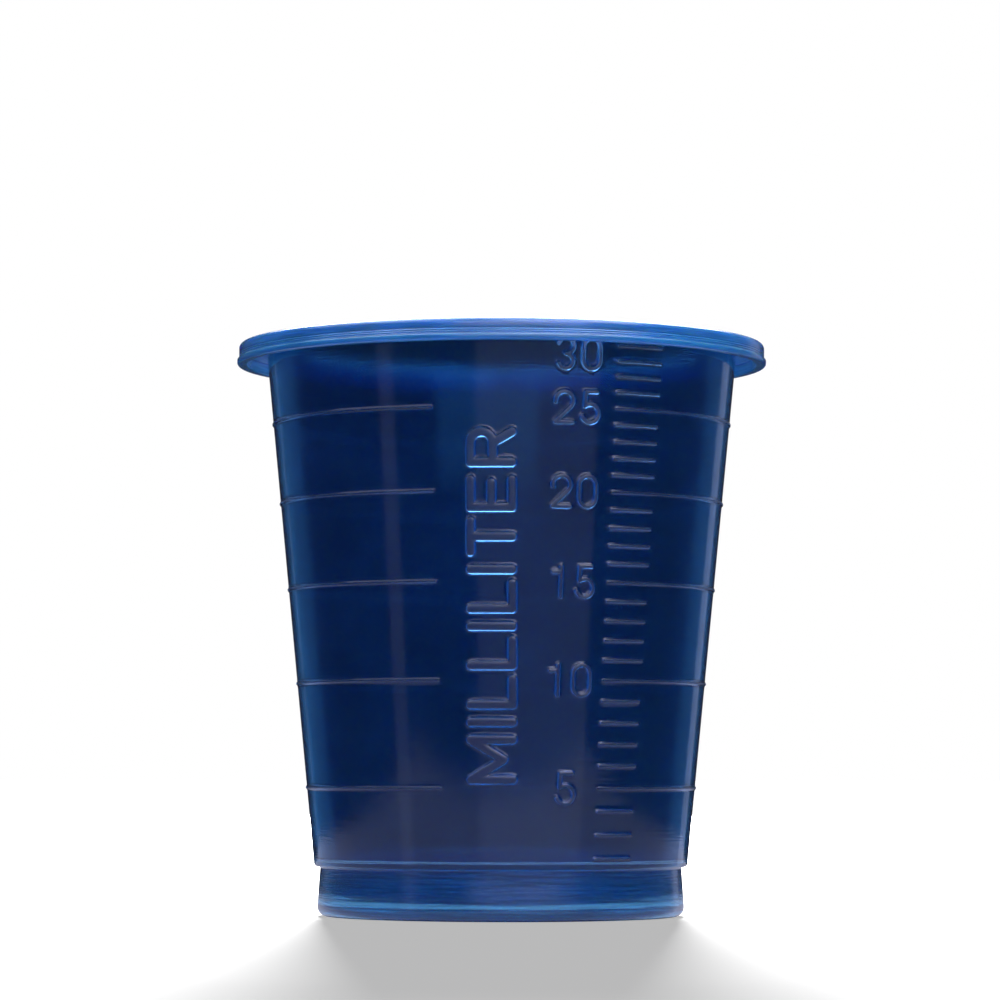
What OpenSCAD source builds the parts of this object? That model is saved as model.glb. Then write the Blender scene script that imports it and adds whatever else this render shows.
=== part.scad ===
// Graduated measuring cup of 30 ml, moulded in translucent blue polypropylene.
// Every node is a feature of one moulding, drawn as a closed solid that meets its neighbours face to face.
// The origin is the centre of the foot, on the table. The scale faces -Y, and azimuths turn from -Y towards +X.

/* [Cup] */
// Height from the table to the brim
cup_h = 42.8; // [42.6:0.1:43.4]
// Thickness of the wall, foot and floor
wall_t = 0.55; // [0.5:0.05:0.65]
// Outer radius of the wall just above the shoulder
wall_bottom_r = 14.05; // [14:0.05:14.2]
// Outer radius of the wall at the brim
wall_top_r = 17.75; // [17.6:0.05:17.9]

/* [Foot] */
// Height of the ledge between the foot and the wall
foot_h = 3.7; // [3.5:0.1:3.9]
// Outer radius of the foot under the ledge
foot_top_r = 13.5; // [13.4:0.05:13.55]
// Outer radius of the foot near the table
foot_bottom_r = 13.75; // [13.6:0.05:13.8]
// Radius of the rounded edge on the table
foot_round = 0.7; // [0.5:0.1:0.9]
// Radius of the rounded corner between the floor and the foot, inside
floor_round = 1.2; // [1:0.1:1.4]
// Height of the hollow under the floor
floor_gap = 0.17; // [0.1:0.01:0.2]

/* [Rim] */
// Largest radius of the rim, at its lip
rim_r = 19.92; // [19.8:0.02:20.1]
// Height of the rim, from the brim to the bottom of its skirt
rim_h = 1.6; // [1.5:0.1:1.7]
// Thickness of the rim's flat top
rim_t = 0.75; // [0.7:0.05:0.85]
// Thickness of the rim's skirt
skirt_t = 0.6; // [0.5:0.05:0.65]
// Radius of the rim's upper outer edge
rim_round = 0.6; // [0.5:0.05:0.65]
// Height of the rounded lip round the bottom of the skirt
lip_h = 0.44; // [0.4:0.02:0.48]
// How far the lip stands out from the skirt
lip_out = 0.14; // [0.1:0.01:0.16]

/* [Scale] */
// Volume between two ring lines, in millilitres
ring_ml = 5; // [5:5:5]
// Highest volume on the scale, in millilitres
full_ml = 30; // [30:5:30]
// Lowest tick mark, in millilitres
first_tick_ml = 2; // [2:1:2]
// Height of a ring line or tick mark on the wall
line_w = 0.42; // [0.36:0.02:0.48]
// How far the ring lines stand out from the wall
ring_out = 0.1; // [0.08:0.01:0.12]
// How far the tick marks stand out from the wall
tick_out = 0.16; // [0.12:0.02:0.2]
// Azimuth of the tick marks' left end, where the ring lines start
tick_from = 28; // [27:0.5:29]
// Angle that a tick mark covers
tick_span = 13.5; // [12:0.5:14]
// Azimuth where the ring lines end, left of the lettering
ring_end = -16.5; // [-18:0.5:-15]

/* [Numerals] */
// Height of a numeral
numeral_h = 2.6; // [2.4:0.1:2.6]
// Width of a numeral
numeral_w = 1.72; // [1.6:0.02:1.76]
// Width of a numeral's stroke
numeral_stroke = 0.42; // [0.38:0.02:0.46]
// Distance between the centres of two numerals
numeral_pitch = 1.96; // [1.9:0.02:2]
// Azimuth of the column of numerals
numeral_azimuth = 18.3; // [18:0.1:18.6]
// How far the numerals stand out from the wall
numeral_out = 0.22; // [0.18:0.02:0.26]
// Height of the middle of the top numeral, which sits under the rim
top_numeral_z = 40.55; // [40.5:0.05:40.6]

/* [Unit word] */
// Height of a capital, measured round the wall
letter_h = 3.75; // [3.6:0.05:3.8]
// Width of a letter's stroke
letter_stroke = 0.8; // [0.7:0.05:0.85]
// Gap after a letter with a closed or upright side
letter_gap = 0.45; // [0.4:0.05:0.5]
// Gap after a letter with an open side
open_letter_gap = 0.2; // [0.15:0.05:0.25]
// Height where the word starts, reading upwards
word_z = 9.8; // [9.6:0.1:10]
// Azimuth of the middle of the word
word_azimuth = -2.5; // [-3:0.5:-2]
// How far the letters stand out from the wall
letter_out = 0.3; // [0.24:0.02:0.32]

/* [Hidden] */
$fn = 96;
arc_steps = 6;
dot_sides = 12;
shoulder_round = 0.5;
shoulder_z = foot_h + shoulder_round + wall_t;
wall_slope = (wall_top_r - wall_bottom_r) / (cup_h - shoulder_z);
wall_dr = wall_t * sqrt(1 + wall_slope * wall_slope);
floor_z = floor_gap + wall_t;
floor_r = foot_bottom_r - wall_t - floor_round;
foot_flat_r = foot_bottom_r - foot_round;
flange_z = cup_h - rim_t;
skirt_z = cup_h - rim_h;
skirt_r = rim_r - lip_out;
ring_levels = [for (ml = [ring_ml:ring_ml:full_ml - ring_ml]) ml];
word = "MILLILITER";

// Outer and inner radius of the wall at height z
function wall_r(z) = wall_bottom_r + wall_slope * (z - shoulder_z);
function inside_r(z) = wall_r(z) - wall_dr;

// Volume of a cone frustum
function frustum(r1, r2, h) = PI * h * (r1 * r1 + r1 * r2 + r2 * r2) / 3;

// Volume held below the top of the shoulder: the foot, the ledge, less the rounded corner of the floor
foot_in_r = foot_top_r - wall_t;
corner_area = (1 - PI / 4) * floor_round * floor_round;
foot_ml = (frustum(floor_r + floor_round, foot_in_r, foot_h + shoulder_round - floor_z)
    + frustum(foot_in_r, inside_r(shoulder_z), wall_t)
    - 2 * PI * foot_in_r * corner_area) / 1000;

// Height at which the cup holds a volume
function level(ml) =
    let (r0 = inside_r(shoulder_z), above = (ml - foot_ml) * 1000)
    shoulder_z + (pow(pow(r0, 3) + 3 * wall_slope * above / PI, 1 / 3) - r0) / wall_slope;

// Point on a circle at an angle
function on_circle(centre, r, a) = centre + r * [cos(a), sin(a)];

// Points along an arc
function arc(centre, r, from, to) =
    [for (i = [0:arc_steps]) on_circle(centre, r, from + (to - from) * i / arc_steps)];

// Width of a capital, the gap after it, and where the capitals of the word start
function letter_w(c) =
    c == "M" ? letter_h * 0.97 :
    c == "I" ? letter_stroke :
    c == "L" ? letter_h * 0.69 :
    c == "E" ? letter_h * 0.73 : letter_h * 0.79;
function gap_after(c) = c == "L" || c == "T" ? open_letter_gap : letter_gap;
function letter_x(i) = i == 0 ? 0 : letter_x(i - 1) + letter_w(word[i - 1]) + gap_after(word[i - 1]);

// ---- the cup's own shell ----

module cup_floor() {
    color("#0a3f86")
    translate([0, 0, floor_gap]) cylinder(r = floor_r, h = wall_t);
}

module foot_skirt() {
    outer = [[foot_flat_r, 0], each arc([foot_flat_r, foot_round], foot_round, -90, 0), [foot_top_r, foot_h]];
    inner = [[foot_in_r, foot_h], each arc([floor_r, floor_z + floor_round], floor_round, 0, -90)];
    color("#0c3f80")
    rotate_extrude() polygon([[floor_r, 0], each outer, each inner]);
}

module wall_shoulder() {
    ledge_r = wall_r(foot_h + shoulder_round) - shoulder_round;
    outer = [[ledge_r, foot_h], each arc([ledge_r, foot_h + shoulder_round], shoulder_round, -90, 0)];
    step_r = inside_r(shoulder_z) - foot_in_r;
    inner = arc([foot_in_r, shoulder_z], step_r, 0, -90);
    color("#0d4a94")
    rotate_extrude()
        polygon([
            [foot_in_r, foot_h], each outer,
            [wall_r(shoulder_z), shoulder_z], each inner
        ]);
}

module cup_wall() {
    color("#10346e")
    rotate_extrude()
        polygon([
            [inside_r(shoulder_z), shoulder_z], [wall_r(shoulder_z), shoulder_z],
            [wall_r(flange_z), flange_z], [inside_r(flange_z), flange_z]
        ]);
}

module rim_flange() {
    edge = arc([skirt_r - rim_round, cup_h - rim_round], rim_round, 0, 90);
    color("#0a5fb4")
    rotate_extrude()
        polygon([[inside_r(flange_z), flange_z], [skirt_r, flange_z], each edge, [inside_r(cup_h), cup_h]]);
}

// Hangs from the outer edge of the flange, and ends in a rounded lip
module rim_skirt() {
    lip_round = lip_h / 2;
    lip_centre = [rim_r - lip_round, skirt_z + lip_round];
    color("#1468bc")
    rotate_extrude()
        union() {
            translate([skirt_r - skirt_t, skirt_z]) square([skirt_t - lip_round, rim_h - rim_t]);
            translate([skirt_r - skirt_t, skirt_z + lip_round]) square([skirt_t, rim_h - rim_t - lip_round]);
            translate(lip_centre) circle(r = lip_round);
        }
}

// ---- lines of the scale ----

// A round-topped bead on the wall at height z, over a span of azimuth
module bead(z, out, from, span) {
    r = (line_w * line_w / 4 + out * out) / (2 * out);
    half_angle = asin(line_w / 2 / r);
    lean = atan(wall_slope);
    rotate([0, 0, from - 90])
    rotate_extrude(angle = span)
        translate([wall_r(z), z]) rotate(-lean)
            polygon(arc([out - r, 0], r, -half_angle, half_angle));
}

module ring_line(ml) {
    color("#2b62ad")
    bead(level(ml), ring_out, tick_from, 360 + ring_end - tick_from);
}

// The tick marks between two ring lines, each a separate solid
module tick_group(from_ml, to_ml) {
    color("#2b62ad")
    for (ml = [from_ml:to_ml])
        bead(level(ml), tick_out, tick_from, tick_span);
}

// ---- strokes of the lettering, drawn flat ----

// Round ends and corners of strokes
module dots(points, w) {
    for (p = points) translate(p) circle(d = w, $fn = dot_sides);
}

// Straight strokes from each point to the next, without their round ends
module bars(points, w) {
    for (i = [1:len(points) - 1])
        let (run = points[i] - points[i - 1])
            translate(points[i - 1]) rotate(atan2(run.y, run.x))
                translate([0, -w / 2]) square([norm(run), w]);
}

// Straight strokes through a list of points, with round corners and ends
module strokes(points, w) {
    dots(points, w);
    bars(points, w);
}

// A stroke round part of a circle, without its round ends
module band(centre, r, from, to, w) {
    reach = 2 * (r + w);
    steps = ceil(abs(to - from) / 60);
    fan = [for (i = [0:steps]) on_circle(centre, reach, from + (to - from) * i / steps)];
    intersection() {
        translate(centre) difference() {
            circle(r = r + w / 2);
            circle(r = r - w / 2);
        }
        polygon([centre, each fan]);
    }
}

// One numeral, w wide and h high, its lower left corner at the origin
module numeral(digit, w = numeral_w, h = numeral_h, s = numeral_stroke) {
    r = (w - s) / 2;
    left = s / 2;
    right = w - s / 2;
    low = s / 2;
    top = h - s / 2;
    if (digit == "0") {
        band([w / 2, top - r], r, 0, 180, s);
        band([w / 2, low + r], r, 180, 360, s);
        bars([[left, low + r], [left, top - r]], s);
        bars([[right, low + r], [right, top - r]], s);
    }
    if (digit == "1") {
        strokes([[w * 0.6, low], [w * 0.6, top]], s);
        dots([[w * 0.25, h * 0.76]], s);
        bars([[w * 0.25, h * 0.76], [w * 0.6, h * 0.76]], s);
    }
    if (digit == "2") {
        bowl = [w / 2, top - r];
        band(bowl, r, -40, 190, s);
        dots([on_circle(bowl, r, 190)], s);
        strokes([on_circle(bowl, r, -40), [left, low], [right, low]], s);
    }
    if (digit == "3") {
        upper_r = r * 0.88;
        lower_r = (h - s) / 2 - upper_r;
        upper = [w / 2, top - upper_r];
        lower = [w / 2, low + lower_r];
        band(upper, upper_r, -90, 160, s);
        band(lower, lower_r, -160, 90, s);
        dots([on_circle(upper, upper_r, 160), on_circle(upper, upper_r, -90), on_circle(lower, lower_r, -160)], s);
    }
    if (digit == "5") {
        bowl = [w / 2, low + r];
        band(bowl, r, -160, 130, s);
        dots([on_circle(bowl, r, -160)], s);
        strokes([on_circle(bowl, r, 130), [w * 0.28, top], [right - 0.1 * w, top]], s);
    }
}

// One capital, its lower left corner at the origin
module letter(c, h = letter_h, s = letter_stroke) {
    left = s / 2;
    right = letter_w(c) - s / 2;
    low = s / 2;
    top = h - s / 2;
    middle = letter_w(c) / 2;
    if (c == "M") strokes([[left, low], [left, top], [middle, h * 0.28], [right, top], [right, low]], s);
    if (c == "I") strokes([[left, low], [left, top]], s);
    if (c == "L") strokes([[left, top], [left, low], [right, low]], s);
    if (c == "T") {
        strokes([[left, top], [right, top]], s);
        dots([[middle, low]], s);
        bars([[middle, low], [middle, top]], s);
    }
    if (c == "E") {
        strokes([[right, top], [left, top], [left, low], [right, low]], s);
        dots([[right - 0.25 * s, h / 2]], s);
        bars([[left, h / 2], [right - 0.25 * s, h / 2]], s);
    }
    if (c == "R") {
        waist = h * 0.47;
        bowl_r = (top - waist) / 2;
        bowl = [right - bowl_r, top - bowl_r];
        strokes([[left, low], [left, top]], s);
        bars([[left, top], [bowl.x, top]], s);
        band(bowl, bowl_r, -90, 90, s);
        bars([[left, waist], [bowl.x, waist]], s);
        strokes([[bowl.x, waist], [right, low]], s);
    }
}

// ---- raising flat strokes off the wall ----

// Carries a flat drawing to the wall, its origin at an azimuth and height, and keeps what lies in a skin over the wall
module raise(azimuth, z, out, reach) {
    z1 = z - reach;
    z2 = min(z + reach, flange_z);
    skin = out * sqrt(1 + wall_slope * wall_slope);
    intersection() {
        rotate_extrude()
            polygon([
                [wall_r(z1), z1], [wall_r(z1) + skin, z1],
                [wall_r(z2) + skin, z2], [wall_r(z2), z2]
            ]);
        rotate([0, 0, azimuth])
            translate([0, -wall_bottom_r / 2, z]) rotate([90, 0, 0])
                linear_extrude(height = wall_top_r) children();
    }
}

// The numerals of a whole number of millilitres, side by side
module numeral_mark(ml, z) {
    digits = str(ml);
    step = numeral_pitch / wall_r(z) * 180 / PI;
    color("#3a63a0")
    for (i = [0:len(digits) - 1])
        raise(numeral_azimuth + step * (i - (len(digits) - 1) / 2), z, numeral_out, numeral_h)
            translate([-numeral_w / 2, -numeral_h / 2]) numeral(digits[i]);
}

module unit_word() {
    color("#34548c")
    for (i = [0:len(word) - 1])
        let (mid = letter_x(i) + letter_w(word[i]) / 2)
            raise(word_azimuth, word_z + mid, letter_out, letter_h)
                rotate(90) translate([-letter_w(word[i]) / 2, -letter_h / 2]) letter(word[i]);
}

cup_floor();
foot_skirt();
wall_shoulder();
cup_wall();
rim_flange();
rim_skirt();
ring_line(ring_levels[0]);  // ring_05_ml
ring_line(ring_levels[1]);  // ring_10_ml
ring_line(ring_levels[2]);  // ring_15_ml
ring_line(ring_levels[3]);  // ring_20_ml
ring_line(ring_levels[4]);  // ring_25_ml
tick_group(first_tick_ml, ring_levels[0] - 1);  // ticks_02_to_04_ml
tick_group(ring_levels[0] + 1, ring_levels[1] - 1);  // ticks_06_to_09_ml
tick_group(ring_levels[1] + 1, ring_levels[2] - 1);  // ticks_11_to_14_ml
tick_group(ring_levels[2] + 1, ring_levels[3] - 1);  // ticks_16_to_19_ml
tick_group(ring_levels[3] + 1, ring_levels[4] - 1);  // ticks_21_to_24_ml
tick_group(ring_levels[4] + 1, full_ml - 1);  // ticks_26_to_29_ml
numeral_mark(ring_levels[0], level(ring_levels[0]));  // numeral_05
numeral_mark(ring_levels[1], level(ring_levels[1]));  // numeral_10
numeral_mark(ring_levels[2], level(ring_levels[2]));  // numeral_15
numeral_mark(ring_levels[3], level(ring_levels[3]));  // numeral_20
numeral_mark(ring_levels[4], level(ring_levels[4]));  // numeral_25
numeral_mark(full_ml, top_numeral_z);  // numeral_30
unit_word();
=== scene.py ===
import math

import bmesh
import bpy
import numpy as np
from mathutils import Matrix, Vector


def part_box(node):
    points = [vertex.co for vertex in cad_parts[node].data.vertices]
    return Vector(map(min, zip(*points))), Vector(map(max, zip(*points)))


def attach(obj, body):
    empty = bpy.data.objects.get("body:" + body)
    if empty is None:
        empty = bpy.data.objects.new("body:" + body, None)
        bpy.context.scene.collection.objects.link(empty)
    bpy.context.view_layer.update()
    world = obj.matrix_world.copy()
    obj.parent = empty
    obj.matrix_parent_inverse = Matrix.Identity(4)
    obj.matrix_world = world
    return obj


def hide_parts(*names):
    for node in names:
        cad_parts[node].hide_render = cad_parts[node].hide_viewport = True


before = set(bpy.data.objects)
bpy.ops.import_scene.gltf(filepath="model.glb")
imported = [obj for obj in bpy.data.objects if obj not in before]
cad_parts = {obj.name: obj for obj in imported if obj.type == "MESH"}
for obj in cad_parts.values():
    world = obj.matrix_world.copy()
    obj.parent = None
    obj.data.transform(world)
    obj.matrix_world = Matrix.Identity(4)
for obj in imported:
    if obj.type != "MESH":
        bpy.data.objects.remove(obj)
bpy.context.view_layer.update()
scene = bpy.context.scene
mm = 0.001


def span(node, axis):
    # lowest and highest coordinate of a CAD node along one axis
    low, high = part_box(node)
    return low[axis], high[axis]


class Wire:
    # an output socket that takes part in sums and picks its neighbours by name
    def __init__(self, bench, socket):
        self.bench = bench
        self.socket = socket

    def port(self, name):
        return Wire(self.bench, self.socket.node.outputs[name])

    def sum(self, operation, first, second):
        return self.bench.add("ShaderNodeMath", {"operation": operation}, {0: first, 1: second})

    def __add__(self, other):
        return self.sum("ADD", self, other)

    def __radd__(self, other):
        return self.sum("ADD", other, self)

    def __sub__(self, other):
        return self.sum("SUBTRACT", self, other)

    def __rsub__(self, other):
        return self.sum("SUBTRACT", other, self)

    def __mul__(self, other):
        return self.sum("MULTIPLY", self, other)

    def __rmul__(self, other):
        return self.sum("MULTIPLY", other, self)


class Bench:
    # one node tree under construction
    def __init__(self, tree):
        self.tree = tree

    def add(self, kind, settings=None, inputs=None):
        node = self.tree.nodes.new(kind)
        for name, value in (settings or {}).items():
            setattr(node, name, value)
        for name, value in (inputs or {}).items():
            if isinstance(value, Wire):
                self.tree.links.new(value.socket, node.inputs[name])
            else:
                node.inputs[name].default_value = value
        outputs = [socket for socket in node.outputs if socket.enabled]
        return Wire(self, outputs[0]) if outputs else node


cameraSettings = {
    "distance": 0.301,
    "height": 0.0106,
    "sideways": 0.0,
    "pitch": 3.91,    # degrees upwards
    "pan": 0.02,
    "roll": 0.1,
    "lens": 144.2,
}


def buildCamera(s):
    camera = bpy.data.objects.new("Camera", bpy.data.cameras.new("Camera"))
    camera.data.lens = s["lens"]
    camera.data.sensor_width = 36
    camera.data.clip_start = 0.01
    camera.data.clip_end = 20
    turn = Matrix.Rotation(math.radians(s["pan"]), 4, "Z")
    turn = turn @ Matrix.Rotation(math.radians(90 + s["pitch"]), 4, "X")
    turn = turn @ Matrix.Rotation(math.radians(s["roll"]), 4, "Z")
    camera.matrix_world = Matrix.Translation((s["sideways"], -s["distance"], s["height"])) @ turn
    scene.collection.objects.link(camera)
    scene.camera = camera


buildCamera(cameraSettings)
print("camera placed")


# the outline runs from the middle of the cup's underside round to the middle of its floor
outlineSettings = {
    "wall": 0.55 * mm,
    "footTop": 13.5 * mm,
    "footFlat": 0.7 * mm,        # rounding of the edge on the table
    "shoulderRound": 0.5 * mm,
    "skirtWall": 0.6 * mm,
    "lipHeight": 0.44 * mm,
    "lipOut": 0.14 * mm,
    "rimRound": 0.6 * mm,
    "innerRimRound": 0.22 * mm,
    "floorRound": 1.2 * mm,
    "grooves": 3,                # fine turned lines round the skirt
    "groovePitch": 0.15 * mm,
    "grooveDepth": 0.03 * mm,
    "softCorner": 0.1 * mm,
    "arcStep": 15,               # degrees between the points of a rounded corner
}


class Outline:
    # the cup's main sizes, read off the CAD nodes
    def __init__(self, s):
        self.top = span("rim_flange", 2)[1]
        self.flange = span("rim_flange", 2)[0]
        self.skirtLow, self.rimR = span("rim_skirt", 2)[0], span("rim_skirt", 0)[1]
        self.shoulder = span("cup_wall", 2)[0]
        self.shoulderR, self.wallTopR = span("wall_shoulder", 0)[1], span("cup_wall", 0)[1]
        self.footR, self.footTop = span("foot_skirt", 0)[1], span("foot_skirt", 2)[1]
        self.floorLow, self.floorTop = span("cup_floor", 2)
        self.floorR = span("cup_floor", 0)[1]
        self.slope = (self.wallTopR - self.shoulderR) / (self.flange - self.shoulder)
        self.inward = s["wall"] * math.sqrt(1 + self.slope ** 2)

    def outside(self, z):
        return self.shoulderR + self.slope * (z - self.shoulder)

    def inside(self, z):
        return self.outside(z) - self.inward


def outlineCorners(s, size):
    # radius, height and rounding of each corner
    soft = s["softCorner"]
    skirtR = size.rimR - s["lipOut"]
    skirtInR = skirtR - s["skirtWall"]
    lipTop = size.skirtLow + s["lipHeight"]
    lipRound = s["lipHeight"] * 0.48
    ledgeIn = size.shoulder - s["wall"]
    footIn = s["footTop"] - s["wall"]
    corners = [
        (0, size.floorLow, 0),
        (size.floorR, size.floorLow, soft),
        (size.floorR + 0.02 * mm, 0, soft * 0.5),
        (size.footR, 0, s["footFlat"]),
        (s["footTop"], size.footTop, soft * 1.4),
        (size.outside(size.footTop), size.footTop, s["shoulderRound"]),
        (size.wallTopR, size.flange, soft * 1.4),
        (skirtInR, size.flange, soft * 1.4),
        (skirtInR, size.skirtLow, soft),
        (size.rimR, size.skirtLow, lipRound),
        (size.rimR, lipTop, lipRound),
        (skirtR, lipTop, soft * 0.5),
    ]
    for i in range(s["grooves"]):
        z = lipTop + s["groovePitch"] * (i + 0.7)
        corners += [
            (skirtR, z - s["groovePitch"] * 0.3, soft * 0.1),
            (skirtR - s["grooveDepth"], z, soft * 0.15),
            (skirtR, z + s["groovePitch"] * 0.3, soft * 0.1),
        ]
    corners += [
        (skirtR, size.top, s["rimRound"]),
        (size.inside(size.top), size.top, s["innerRimRound"]),
        (size.inside(ledgeIn), ledgeIn, s["shoulderRound"]),
        (footIn, ledgeIn, soft * 1.5),
        (size.footR - s["wall"], size.floorTop, s["floorRound"]),
        (0, size.floorTop, 0),
    ]
    return corners


def roundOff(corners, arcStep):
    # swaps each corner for an arc that touches both its sides
    points = []
    for i, (r, z, rounding) in enumerate(corners):
        here = Vector((r, z))
        if rounding == 0:
            points.append(here)
            continue
        back = Vector(corners[i - 1][:2]) - here
        ahead = Vector(corners[i + 1][:2]) - here
        half = back.angle(ahead) / 2
        reach = rounding / math.tan(half)
        limit = 0.47 * min(back.length, ahead.length)
        rounding *= min(1, limit / reach)
        reach = min(reach, limit)
        middle = (back.normalized() + ahead.normalized()).normalized()
        centre = here + middle * rounding / math.sin(half)
        start = here + back.normalized() * reach - centre
        end = here + ahead.normalized() * reach - centre
        sweep = start.angle_signed(end)
        steps = max(2, round(abs(math.degrees(sweep)) / arcStep))
        for k in range(steps + 1):
            turned = start.copy()
            turned.rotate(Matrix.Rotation(-sweep * k / steps, 2))
            points.append(centre + turned)
    return points


size = Outline(outlineSettings)
outline = roundOff(outlineCorners(outlineSettings, size), outlineSettings["arcStep"])
travelled = [0.0]
for a, b in zip(outline, outline[1:]):
    travelled.append(travelled[-1] + (b - a).length)
print("outline of", len(outline), "points")


# the raised marks are drawn as centre lines on the unrolled wall
scaleSettings = {
    "ticksFrom": 28.0,      # azimuth in degrees, from -Y towards +X
    "tickSpan": 13.5,
    "roundEnd": 0.6,        # degrees that a line's round end adds
    "ringsEnd": -16.5,
    "lineWidth": 0.42 * mm,
    "ringShoulder": 0.21 * mm,
    "tickShoulder": 0.19 * mm,
    "ringRise": 0.1 * mm,
    "tickRise": 0.16 * mm,
}

numeralSettings = {
    "width": 1.72 * mm,
    "height": 2.6 * mm,
    "stroke": 0.42 * mm,
    "pitch": 1.96 * mm,
    "azimuth": 18.3,
    "halfWidth": 0.25 * mm,
    "shoulder": 0.19 * mm,
    "rise": 0.22 * mm,
}

wordSettings = {
    "text": "MILLILITER",
    "height": 3.75 * mm,
    "stroke": 0.8 * mm,
    "gap": 0.45 * mm,
    "openGap": 0.2 * mm,     # after a letter with an open side
    "azimuth": -2.5,
    "halfWidth": 0.46 * mm,
    "shoulder": 0.26 * mm,
    "rise": 0.3 * mm,
    "widths": {"M": 0.97, "L": 0.69, "E": 0.73, "T": 0.79, "R": 0.79},
}


def arcPoints(centre, radius, start, end, step=12):
    count = max(2, math.ceil(abs(end - start) / step))
    angles = [math.radians(start + (end - start) * i / count) for i in range(count + 1)]
    return [(centre[0] + radius * math.cos(a), centre[1] + radius * math.sin(a)) for a in angles]


def numeralLines(digit, w, h, s):
    r = (w - s) / 2
    left, right, low, top = s / 2, w - s / 2, s / 2, h - s / 2
    if digit == "0":
        loop = arcPoints((w / 2, top - r), r, 0, 180) + arcPoints((w / 2, low + r), r, 180, 360)
        return [loop + loop[:1]]
    if digit == "1":
        return [[(w * 0.6, low), (w * 0.6, top)], [(w * 0.25, h * 0.76), (w * 0.6, h * 0.76)]]
    if digit == "2":
        return [arcPoints((w / 2, top - r), r, 190, -40) + [(left, low), (right, low)]]
    if digit == "3":
        upper = r * 0.88
        lower = (h - s) / 2 - upper
        bowls = arcPoints((w / 2, top - upper), upper, 160, -90)
        return [bowls + arcPoints((w / 2, low + lower), lower, 90, -160)]
    return [arcPoints((w / 2, low + r), r, -160, 130) + [(w * 0.28, top), (right - 0.1 * w, top)]]


def letterLines(letter, w, h, s):
    left, right, low, top = s / 2, w - s / 2, s / 2, h - s / 2
    if letter == "M":
        return [[(left, low), (left, top), (w / 2, h * 0.28), (right, top), (right, low)]]
    if letter == "I":
        return [[(left, low), (left, top)]]
    if letter == "L":
        return [[(left, top), (left, low), (right, low)]]
    if letter == "T":
        return [[(left, top), (right, top)], [(w / 2, low), (w / 2, top)]]
    if letter == "E":
        outer = [(right, top), (left, top), (left, low), (right, low)]
        return [outer, [(left, h / 2), (right - s / 4, h / 2)]]
    waist = h * 0.47
    bowl = (top - waist) / 2
    loop = [(left, top)] + arcPoints((right - bowl, top - bowl), bowl, 90, -90) + [(left, waist)]
    return [[(left, low), (left, top)], loop, [(right - bowl, waist), (right, low)]]


def onWall(azimuth, z, across, up):
    # a point of a flat drawing, in distances round and up the wall
    height = z + up
    return math.radians(azimuth) * size.outside(height) + across, height


def wordMarks(s):
    marks = []
    z = span("unit_word", 2)[0]
    for letter in s["text"]:
        width = s["widths"].get(letter, 0) * s["height"] or s["stroke"]
        for line in letterLines(letter, width, s["height"], s["stroke"]):
            turned = [(s["height"] / 2 - y, x) for x, y in line]    # the word reads upwards
            marks.append([onWall(s["azimuth"], z, x, y) for x, y in turned])
        z += width + (s["openGap"] if letter in "LT" else s["gap"])
    return marks


def numeralMarks(s):
    marks = []
    for node in [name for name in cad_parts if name.startswith("numeral_")]:
        digits = node.split("_")[1].lstrip("0")
        z = sum(span(node, 2)) / 2
        for i, digit in enumerate(digits):
            shift = s["pitch"] * (i - (len(digits) - 1) / 2) - s["width"] / 2
            for line in numeralLines(digit, s["width"], s["height"], s["stroke"]):
                marks.append([onWall(s["azimuth"], z, x + shift, y - s["height"] / 2) for x, y in line])
    return marks


def tickMarks(s):
    marks = []
    ends = s["ticksFrom"] + s["roundEnd"], s["ticksFrom"] + s["tickSpan"] - s["roundEnd"]
    for node in [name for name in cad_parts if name.startswith("ticks_")]:
        first, last = int(node.split("_")[1]), int(node.split("_")[3])
        low, high = span(node, 2)
        low, high = low + s["lineWidth"] / 2, high - s["lineWidth"] / 2
        for ml in range(first, last + 1):
            z = low + (high - low) * (ml - first) / (last - first)
            marks.append([onWall(azimuth, z, 0, 0) for azimuth in ends])
    return marks


def ringMarks(s):
    marks = []
    for node in [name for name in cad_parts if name.startswith("ring_")]:
        z = sum(span(node, 2)) / 2    # each line runs a little past the seam at the back
        marks.append([onWall(s["ticksFrom"] + s["roundEnd"], z, 0, 0), onWall(182, z, 0, 0)])
        marks.append([onWall(-182, z, 0, 0), onWall(s["ringsEnd"] - s["roundEnd"], z, 0, 0)])
    return marks


def markKind(lines, halfWidth, shoulder, rise):
    return {"lines": lines, "halfWidth": halfWidth, "shoulder": shoulder, "rise": rise}


def drawnKind(lines, s):
    return markKind(lines, s["halfWidth"], s["shoulder"], s["rise"])


def lineKind(lines, name, s):
    return markKind(lines, s["lineWidth"] / 2, s[name + "Shoulder"], s[name + "Rise"])


markKinds = {
    "Word": drawnKind(wordMarks(wordSettings), wordSettings),
    "Numerals": drawnKind(numeralMarks(numeralSettings), numeralSettings),
    "Ticks": lineKind(tickMarks(scaleSettings), "tick", scaleSettings),
    "Rings": lineKind(ringMarks(scaleSettings), "ring", scaleSettings),
}
print("marks:", {kind: len(mark["lines"]) for kind, mark in markKinds.items()})


# a flat sheet, to be rolled into the cup
sheetSettings = {
    "frontFrom": -19.5,     # azimuths of the closely divided front
    "frontTo": 44.0,
    "frontStep": 0.9,
    "backStep": 3.0,
    "markedRow": 0.25 * mm,
    "plainRow": 2.2 * mm,
    "longSide": 30 * mm,    # only the wall's two sides are longer
    "cuts": 2,              # extra cuts of the faces near a mark
    "margin": 0.13 * mm,
}


def evenly(start, end, step):
    count = max(1, math.ceil((end - start) / step - 1e-6))
    return [start + (end - start) * i / count for i in range(count)]


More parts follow.
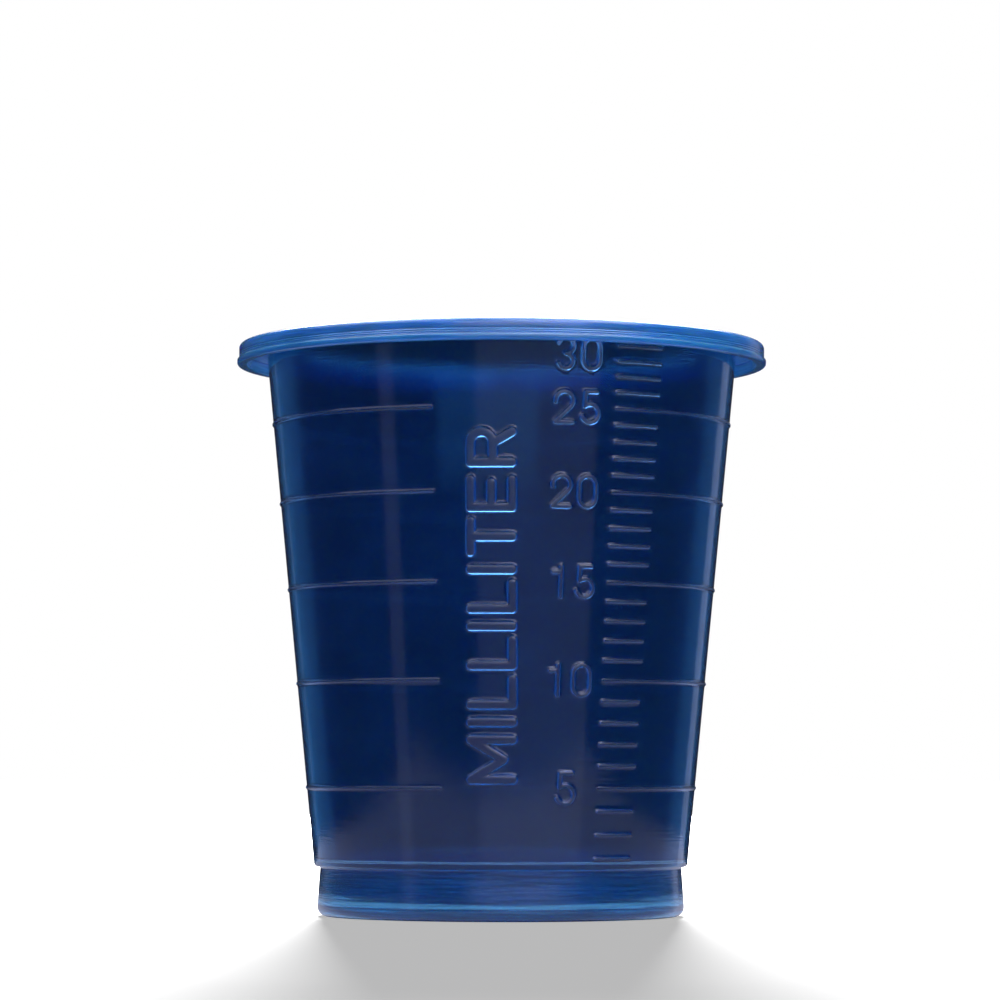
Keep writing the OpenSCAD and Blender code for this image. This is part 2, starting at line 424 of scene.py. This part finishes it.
def buildSheet(s):
    columns = evenly(-180, s["frontFrom"], s["backStep"])
    columns += evenly(s["frontFrom"], s["frontTo"], s["frontStep"])
    columns += evenly(s["frontTo"], 180, s["backStep"]) + [180]
    rows = []
    for i, (a, b) in enumerate(zip(travelled, travelled[1:])):
        marked = b - a > s["longSide"] and outline[i].y < outline[i + 1].y    # the wall's outer side
        rows += evenly(a, b, s["markedRow"] if marked else s["plainRow"])
        if marked:
            wallRows = a, b
    rows.append(travelled[-1])
    width = len(columns)
    points = [(math.radians(azimuth), row, 0) for row in rows for azimuth in columns]
    faces = [
        (k, k + 1, k + width + 1, k + width)
        for k in range(len(points) - width) if (k + 1) % width
    ]
    mesh = bpy.data.meshes.new("cupSheet")
    mesh.from_pydata(points, [], faces)
    return mesh, wallRows


def nearMarks(mesh, wallRows, margin):
    # which faces lie on or beside a mark
    centres = np.array([face.center[:2] for face in mesh.polygons])
    foot = outline[travelled.index(wallRows[0])]
    head = outline[travelled.index(wallRows[1])]
    share = (centres[:, 1] - wallRows[0]) / (wallRows[1] - wallRows[0])
    onSide = (share > 0) & (share < 1)
    up = foot.y + (head.y - foot.y) * share
    around = centres[:, 0] * (foot.x + (head.x - foot.x) * share)
    near = np.zeros(len(centres), bool)
    for mark in markKinds.values():
        for line in mark["lines"]:
            for a, b in zip(line, line[1:]):
                run = np.array(b) - np.array(a)
                place = ((around - a[0]) * run[0] + (up - a[1]) * run[1]) / max(run @ run, 1e-12)
                place = np.clip(place, 0, 1)
                gap = np.hypot(around - a[0] - place * run[0], up - a[1] - place * run[1])
                near |= gap < mark["halfWidth"] + margin
    return near & onSide


def refine(mesh, chosen, cuts):
    work = bmesh.new()
    work.from_mesh(mesh)
    edges = {edge for face, wanted in zip(work.faces, chosen) if wanted for edge in face.edges}
    bmesh.ops.subdivide_edges(work, edges=list(edges), cuts=cuts, use_grid_fill=True)
    work.to_mesh(mesh)
    work.free()


sheetMesh, wallRows = buildSheet(sheetSettings)
refine(sheetMesh, nearMarks(sheetMesh, wallRows, sheetSettings["margin"]), sheetSettings["cuts"])
print("sheet of", len(sheetMesh.polygons), "faces")


plasticSettings = {
    # the rim's lighter blue is partly the plastic's own colour and partly painted glow, standing in for the
    # light that comes through the thick rim
    "body": {"wall": (0.04, 0.24, 0.55), "rim": (0.06, 0.36, 0.72), "foot": (0.015, 0.24, 0.57)},
    "deepShare": {"wall": 0.8, "rim": 0.7, "foot": 0.6},    # the darker clouds and streaks in the colour
    "patternRange": (0.35, 0.62),
    "cloudScale": 160,
    "rippleScale": 420,
    "lineScale": 8000,
    "lineStretch": 0.035,          # the turned lines' scale round the cup, as a share of that up it
    "streaks": {"wall": 0.3, "rim": 0.7, "foot": 0.85},     # share of the turned lines in that pattern
    "clearness": {"wall": 0.945, "rim": 0.5, "foot": 0.85},
    "ior": 1.49,
    "roughness": {"wall": 0.1, "rim": 0.22, "foot": 0.16},
    "roughnessChange": 0.12,
    "scatter": (0.3, 0.8, 1.6),    # how far each colour travels in the plastic, in millimetres
    "lineRelief": {"wall": 0.4, "rim": 0.6, "foot": 0.75},    # share of fine turned lines in the bump
    # lilac grey that the raised marks are tinted towards: a painted sheen standing in for the light their
    # flanks catch
    "paintedMarkSheen": (0.34, 0.35, 0.56),
    "markSheenShare": 0.6,              # how much of it the raised marks take on
    "markRoughness": 0.24,         # the raised marks are duller than the polished wall
    "coat": {"wall": 0.0, "rim": 1.0, "foot": 0.45},
    "coatRoughness": 0.25,
    "bump": {"wall": 0.25, "rim": 0.35, "foot": 0.5},
    "bumpHeight": 0.04 * mm,
    "speckCells": 830,             # one speck to a cell of 1.2 mm
    "speckRadius": 0.06,           # as a share of the cell
    "speckHeight": 1.5,
}


def buildPlastic(s, zone):
    material = bpy.data.materials.new("bluePlastic" + zone.title())
    material.use_nodes = True
    bench = Bench(material.node_tree)
    material.node_tree.nodes.clear()
    place = bench.add("ShaderNodeTexCoord").port("Object")
    cloud = bench.add("ShaderNodeTexNoise", {}, {"Vector": place, "Scale": s["cloudScale"], "Detail": 3})
    # fine lines that the turned mould leaves round the cup
    turned = bench.add("ShaderNodeMapping", {}, {
        "Vector": place, "Scale": (s["lineStretch"], s["lineStretch"], 1)})
    fineLines = bench.add("ShaderNodeTexNoise", {}, {"Vector": turned, "Scale": s["lineScale"], "Detail": 3})
    pattern = cloud * (1 - s["streaks"][zone]) + fineLines * s["streaks"][zone]
    darkest, lightest = s["patternRange"]
    pattern = bench.add("ShaderNodeMapRange", {}, {
        "Value": pattern, "From Min": darkest, "From Max": lightest})
    deep = [part * s["deepShare"][zone] for part in s["body"][zone]]
    # a colour mix has its two colours on sockets 6 and 7, and its result on socket 2
    colour = bench.add("ShaderNodeMix", {"data_type": "RGBA"}, {
        "Factor": pattern, 6: (*deep, 1), 7: (*s["body"][zone], 1)})
    raised = bench.add("ShaderNodeAttribute", {"attribute_name": "raised"}).port("Fac")
    # the raised marks are tinted towards lilac grey, a painted sheen
    colour = bench.add("ShaderNodeMix", {"data_type": "RGBA"}, {
        "Factor": raised * s["markSheenShare"], 6: colour.port(2), 7: (*s["paintedMarkSheen"], 1)})
    colour = colour.port(2)
    ripple = bench.add("ShaderNodeTexNoise", {}, {"Vector": place, "Scale": s["rippleScale"], "Detail": 2})
    relief = fineLines * s["lineRelief"][zone] + ripple * (1 - s["lineRelief"][zone])
    cells = bench.add("ShaderNodeTexVoronoi", {}, {"Vector": place, "Scale": s["speckCells"]})
    speck = cells.sum("LESS_THAN", cells, s["speckRadius"]) * s["speckHeight"]
    bump = bench.add("ShaderNodeBump", {}, {
        "Strength": s["bump"][zone], "Distance": s["bumpHeight"], "Height": relief + speck})
    roughness = s["roughness"][zone] + (ripple - 0.5) * s["roughnessChange"] + raised * s["markRoughness"]
    shader = bench.add("ShaderNodeBsdfPrincipled", {}, {
        "Base Color": colour, "Roughness": roughness, "Normal": bump,
        "Coat Weight": s["coat"][zone], "Coat Roughness": s["coatRoughness"],
        "IOR": s["ior"], "Transmission Weight": s["clearness"][zone],
        "Subsurface Weight": 1.0, "Subsurface Radius": s["scatter"], "Subsurface Scale": mm})
    bench.add("ShaderNodeOutputMaterial", {}, {"Surface": shader})
    return material


plastics = {zone: buildPlastic(plasticSettings, zone) for zone in plasticSettings["clearness"]}
print("plastic mixed")


# the marks are raised on the sheet, and the sheet is rolled round the outline
mouldSettings = {
    "weld": 0.002 * mm,
    "rimEdge": 0.1 * mm,     # the rim's plastic starts this far outside the wall
    "footEdge": 0.02 * mm,   # and the foot's ends this far above the ledge
}


def lineObject(name, lines):
    # centre lines as loose edges
    points, edges = [], []
    for line in lines:
        edges += [(len(points) + i, len(points) + i + 1) for i in range(len(line) - 1)]
        points += [(x, y, 0) for x, y in line]
    mesh = bpy.data.meshes.new(name)
    mesh.from_pydata(points, edges, [])
    made = bpy.data.objects.new(name, mesh)
    scene.collection.objects.link(made)
    return made


def outlineObject():
    curve = bpy.data.curves.new("cupOutline", "CURVE")
    curve.dimensions = "3D"
    spline = curve.splines.new("POLY")
    spline.points.add(len(outline) - 1)
    for point, place in zip(spline.points, outline):
        point.co = (place.x, 0, place.y, 1)
    made = bpy.data.objects.new("cupOutline", curve)
    scene.collection.objects.link(made)
    return made


def rollTree():
    tree = bpy.data.node_groups.new("rolledMoulding", "GeometryNodeTree")
    ports = [("Outline", "Object"), ("Wall Start", "Float"), ("Wall End", "Float"), ("Weld", "Float"),
             ("Plastic", "Material")]
    for kind in markKinds:
        ports += [(kind, "Object"), (kind + " Half Width", "Float"), (kind + " Shoulder", "Float"),
                  (kind + " Rise", "Float")]
    tree.interface.new_socket("Geometry", in_out="INPUT", socket_type="NodeSocketGeometry")
    for name, kind in ports:
        tree.interface.new_socket(name, in_out="INPUT", socket_type="NodeSocket" + kind)
    tree.interface.new_socket("Geometry", in_out="OUTPUT", socket_type="NodeSocketGeometry")

    bench = Bench(tree)
    given = bench.add("NodeGroupInput")
    flat = bench.add("ShaderNodeSeparateXYZ", {}, {"Vector": bench.add("GeometryNodeInputPosition")})
    azimuth, along = flat, flat.port("Y")

    path = bench.add("GeometryNodeObjectInfo", {}, {"Object": given.port("Outline")}).port("Geometry")
    sample = bench.add("GeometryNodeSampleCurve", {"mode": "LENGTH"}, {"Curves": path, "Length": along})
    spot = bench.add("ShaderNodeSeparateXYZ", {}, {"Vector": sample.port("Position")})
    lean = bench.add("ShaderNodeSeparateXYZ", {}, {"Vector": sample.port("Tangent")})
    radius, height = spot, spot.port("Z")

    # the mark lines lie in distances round and up the wall
    unrolled = bench.add("ShaderNodeCombineXYZ", {}, {"X": azimuth * radius, "Y": height})
    rise = raised = None
    for kind in markKinds:
        lines = bench.add("GeometryNodeObjectInfo", {}, {"Object": given.port(kind)}).port("Geometry")
        gap = bench.add("GeometryNodeProximity", {"target_element": "EDGES"}, {
            0: lines, "Sample Position": unrolled}).port("Distance")
        halfWidth = given.port(kind + " Half Width")
        share = bench.add("ShaderNodeMapRange", {"interpolation_type": "SMOOTHSTEP"}, {
            "Value": gap, "From Min": halfWidth, "From Max": halfWidth - given.port(kind + " Shoulder")})
        lift = share * given.port(kind + " Rise")
        rise = lift if rise is None else rise.sum("MAXIMUM", rise, lift)
        raised = share if raised is None else raised.sum("MAXIMUM", raised, share)
    onWallSide = along.sum("GREATER_THAN", along, given.port("Wall Start"))
    onWallSide = onWallSide * along.sum("LESS_THAN", along, given.port("Wall End"))
    rise = rise * onWallSide
    raised = raised * onWallSide
    radius = radius + lean.port("Z") * rise
    height = height - lean * rise
    rolled = bench.add("ShaderNodeCombineXYZ", {}, {
        "X": radius * radius.sum("SINE", azimuth, 0.0),
        "Y": radius * (0 - radius.sum("COSINE", azimuth, 0.0)),
        "Z": height,
    })
    noted = bench.add("GeometryNodeStoreNamedAttribute", {"data_type": "FLOAT", "domain": "POINT"}, {
        "Geometry": given.port("Geometry"), "Name": "raised", "Value": raised})
    moved = bench.add("GeometryNodeSetPosition", {}, {"Geometry": noted, "Position": rolled})
    welded = bench.add("GeometryNodeMergeByDistance", {}, {"Geometry": moved, "Distance": given.port("Weld")})
    real = bench.add("GeometryNodeRealizeInstances", {}, {"Geometry": welded})
    done = bench.add("GeometryNodeSetMaterial", {}, {"Geometry": real, "Material": given.port("Plastic")})
    bench.add("NodeGroupOutput", {}, {0: done})
    return tree


def mouldCup(s):
    helpers = {kind: lineObject("lines" + kind, mark["lines"]) for kind, mark in markKinds.items()}
    helpers["Outline"] = outlineObject()
    values = {
        "Wall Start": wallRows[0], "Wall End": wallRows[1],
        "Weld": s["weld"], "Plastic": plastics["wall"], **helpers,
    }
    for kind, mark in markKinds.items():
        values.update({
            kind + " Half Width": mark["halfWidth"],
            kind + " Shoulder": mark["shoulder"],
            kind + " Rise": mark["rise"],
        })

    sheet = bpy.data.objects.new("cupSheet", sheetMesh)
    scene.collection.objects.link(sheet)
    modifier = sheet.modifiers.new("roll", "NODES")
    modifier.node_group = rollTree()
    for item in modifier.node_group.interface.items_tree:
        if item.in_out == "INPUT" and item.name in values:
            modifier[item.identifier] = values[item.name]
    scene.view_layers[0].update()
    graph = bpy.context.evaluated_depsgraph_get()
    mesh = bpy.data.meshes.new_from_object(sheet.evaluated_get(graph))
    mesh.name = "cup_moulding"
    for made in [sheet, *helpers.values()]:
        bpy.data.objects.remove(made)
    mesh.shade_smooth()
    # the rim plastic's lighter blue is partly painted glow
    mesh.materials.append(plastics["rim"])
    mesh.materials.append(plastics["foot"])
    for face in mesh.polygons:
        up, out = face.center.z, face.center.xy.length
        if up > size.flange or out > size.wallTopR + s["rimEdge"]:
            face.material_index = 1
        elif up < size.footTop + s["footEdge"]:
            face.material_index = 2
    cup = bpy.data.objects.new("cup_moulding", mesh)
    scene.collection.objects.link(cup)
    return cup


cup = mouldCup(mouldSettings)
cup.visible_diffuse = False    # no coloured glow on the table
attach(cup, "root")
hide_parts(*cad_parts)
cup.data.calc_loop_triangles()
print("cup moulded:", len(cup.data.loop_triangles), "triangles")


studioSettings = {
    "floorReach": 6,
    "floorShade": 0.8,
    "floorGlow": 0.47,
    "farGlow": 1.1,
    "glowFrom": 0.1,        # beyond this distance the table brightens to plain white
    "glowTo": 0.22,
    "surround": (0.02, 0.02, 0.024),
}

# azimuth and elevation in degrees from the cup's middle, distance, width and height in metres, brightness,
# and what sees the light: shine on surfaces, the view through the plastic, the table
lightSettings = {
    "rightStrip": (144, 4, 0.5, 0.1, 0.5, 0.3, "shine"),
    "leftStrip": (-147, 0, 0.5, 0.02, 0.4, 0.1, "shine"),
    "leftPanel": (-58, -2, 0.5, 0.07, 0.3, 0.25, "shine through"),
    "frontPanel": (18, -4, 0.6, 0.7, 0.25, 0.25, "shine through"),
    "highPanel": (8, 20, 0.6, 0.6, 0.25, 2.0, "shine"),
    "rightGlow": (140, 10, 0.5, 0.3, 0.5, 0.95, "through"),
    "leftGlow": (-140, 10, 0.5, 0.3, 0.5, 0.95, "through"),
    "rightBank": (34, 42, 0.5, 0.5, 0.3, 3.2, "shine through"),
    "leftBank": (-60, 42, 0.5, 0.65, 0.3, 1.2, "shine through"),
    "overhead": (180, 84, 0.45, 0.7, 0.5, 3.5, "shine through"),
    "overBack": (180, 48, 0.5, 0.5, 0.2, 10.0, "shine through"),
    "tableBounce": (0, -90, size.top / 2 - 0.1 * mm, 0.12, 0.12, 0.5, "shine"),
    "tableKey": (180, 19, 0.7, 0.17, 0.12, 612.0, "table"),
}
lampColour = (0.92, 0.9, 1.1)


def buildFloor(s):
    mesh = bpy.data.meshes.new("floor")
    reach = s["floorReach"]
    corners = [(-reach, -reach, 0), (reach, -reach, 0), (reach, reach, 0), (-reach, reach, 0)]
    mesh.from_pydata(corners, [], [(0, 1, 2, 3)])
    floor = bpy.data.objects.new("floor", mesh)
    material = bpy.data.materials.new("paleTable")
    material.use_nodes = True
    material.node_tree.nodes.clear()
    bench = Bench(material.node_tree)
    shade = bench.add("ShaderNodeBsdfDiffuse", {}, {"Color": (s["floorShade"],) * 3 + (1,)})
    place = bench.add("ShaderNodeTexCoord").port("Object")
    away = bench.add("ShaderNodeVectorMath", {"operation": "LENGTH"}, {0: place}).port("Value")
    strength = bench.add("ShaderNodeMapRange", {"interpolation_type": "SMOOTHSTEP"}, {
        "Value": away, "From Min": s["glowFrom"], "From Max": s["glowTo"],
        "To Min": s["floorGlow"], "To Max": s["farGlow"]})
    glow = bench.add("ShaderNodeEmission", {}, {"Strength": strength})
    both = bench.add("ShaderNodeAddShader", {}, {0: shade, 1: glow})
    bench.add("ShaderNodeOutputMaterial", {}, {"Surface": both})
    mesh.materials.append(material)
    floor.visible_transmission = False
    floor.visible_glossy = False
    floor.visible_diffuse = False
    scene.collection.objects.link(floor)
    return floor


def lightGroup(name, lit):
    # what a light shines on
    group = bpy.data.collections.new(name)
    group.objects.link(lit)
    return group


def buildWorld(s):
    world = bpy.data.worlds.new("studio")
    world.use_nodes = True
    world.node_tree.nodes.clear()
    bench = Bench(world.node_tree)
    seen = bench.add("ShaderNodeLightPath").port("Is Camera Ray")
    colour = bench.add("ShaderNodeMix", {"data_type": "RGBA"}, {
        "Factor": seen, 6: (*s["surround"], 1), 7: (1, 1, 1, 1)}).port(2)
    light = bench.add("ShaderNodeBackground", {}, {"Color": colour})
    bench.add("ShaderNodeOutputWorld", {}, {"Surface": light})
    scene.world = world


def buildLight(name, azimuth, elevation, distance, width, height, brightness, use):
    data = bpy.data.lights.new(name, "AREA")
    data.shape = "RECTANGLE"
    data.size, data.size_y = width, height
    data.color = (1, 1, 1) if use == "table" else lampColour
    data.energy = brightness * math.pi * width * height
    lamp = bpy.data.objects.new(name, data)
    a, e = math.radians(azimuth), math.radians(elevation)
    towards = Vector((math.sin(a) * math.cos(e), -math.cos(a) * math.cos(e), math.sin(e)))
    lamp.location = towards * distance + Vector((0, 0, size.top / 2))
    lamp.rotation_euler = towards.to_track_quat("Z", "Y").to_euler()
    lamp.visible_camera = False
    lamp.visible_glossy = "shine" in use
    lamp.visible_transmission = "through" in use
    lamp.light_linking.receiver_collection = onTable if use == "table" else onCup
    scene.collection.objects.link(lamp)


onTable = lightGroup("litTable", buildFloor(studioSettings))
onCup = lightGroup("litCup", cup)
buildWorld(studioSettings)
for name, values in lightSettings.items():
    buildLight(name, *values)
scene.view_settings.view_transform = "Standard"
print("studio lit")
